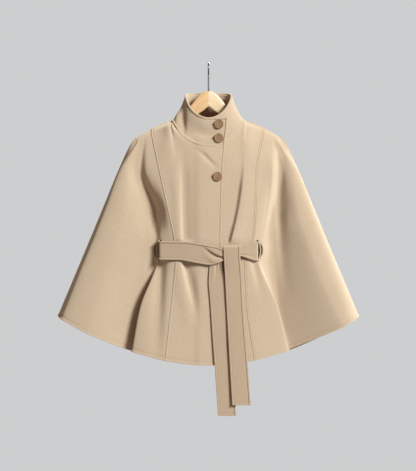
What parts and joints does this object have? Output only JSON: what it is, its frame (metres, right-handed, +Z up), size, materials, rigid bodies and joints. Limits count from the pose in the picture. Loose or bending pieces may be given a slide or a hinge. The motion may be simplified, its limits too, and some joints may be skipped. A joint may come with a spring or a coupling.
{
  "type": "belted cape coat on a hanger",
  "caption": "Camel wool cape coat with a buttoned funnel collar, lapped front, wide wings and a tied belt through side slits, hung on a wooden hanger.",
  "frame": {"origin": "the inside top of the hanger's hook, where it sits on its rail", "axes": "+X to the viewer's right (the wearer's left), +Y from the front of the coat to its back, +Z up; the rail runs along X"},
  "size_m": [0.848, 0.2865, 0.9859],
  "materials": {
    "wool": "thick brushed wool coating with a short nap",
    "belt_wool": "the same wool, folded and topstitched",
    "horn": "satin, horn coloured",
    "beech": "clear satin lacquer",
    "wire": "drawn wire"
  },
  "bodies": {
    "root": {"front_right": "wool", "front_left": "wool", "side_front_right": "wool", "side_front_left": "wool", "back": "wool", "collar": "wool", "belt_loop_right": "wool", "belt_loop_left": "wool", "belt_right": "belt_wool", "belt_left": "belt_wool", "belt_back": "belt_wool", "belt_knot": "belt_wool", "belt_tail_over": "belt_wool", "belt_tail_under": "belt_wool", "button_1": "horn", "button_2": "horn", "button_3": "horn", "hanger_arms": "beech", "hanger_hook": "wire"}
  },
  "joints": []
}
